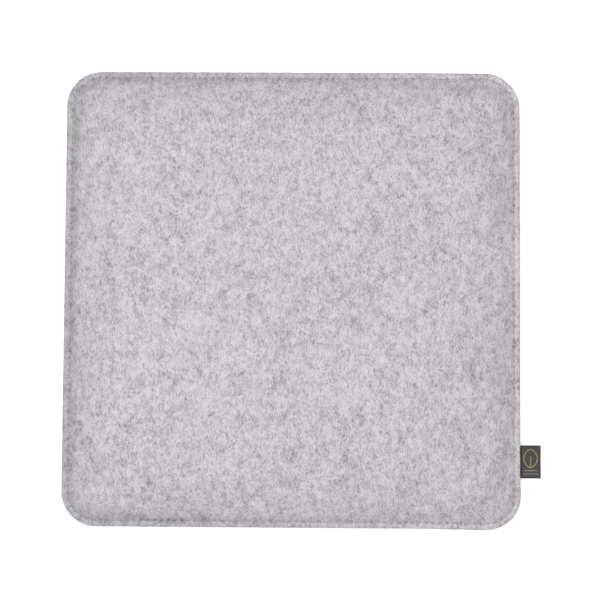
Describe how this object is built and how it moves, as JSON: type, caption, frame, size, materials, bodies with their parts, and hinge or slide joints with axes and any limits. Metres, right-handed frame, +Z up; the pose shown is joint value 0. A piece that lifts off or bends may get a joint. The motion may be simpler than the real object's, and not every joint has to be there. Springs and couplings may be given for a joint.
{
  "type": "kneeling pad",
  "caption": "Square felt kneeling pad: two grey felt sheets lockstitched round a foam slab, with rounded corners and a folded ribbon label in the seam.",
  "frame": {"origin": "middle of the square underside, on the surface the pad lies on", "axes": "+Z up through the pad's thickness; +X towards the side that carries the label; +Y away from the label's corner, so the label reads upright along +Y"},
  "size_m": [0.366, 0.35, 0.026],
  "materials": {
    "felt": "matte",
    "foam": "matte",
    "thread": "satin",
    "label_ribbon": "satin",
    "emblem_yarn": "satin"
  },
  "bodies": {
    "pad": {"top_felt": "felt", "bottom_felt": "felt", "foam_core": "foam", "needle_thread": "thread", "bobbin_thread": "thread", "label_tail": "label_ribbon"},
    "label": {"side_label": "label_ribbon", "label_emblem": "emblem_yarn"}
  },
  "joints": [
    {"name": "label_flap", "type": "hinge", "parent": "pad", "child": "label", "pos_m": [0.1755, -0.124, 0.013], "axis": [0, -1, 0], "range_deg": [-50, 85], "stiffness_Nm_per_rad": 0.0001}
  ]
}
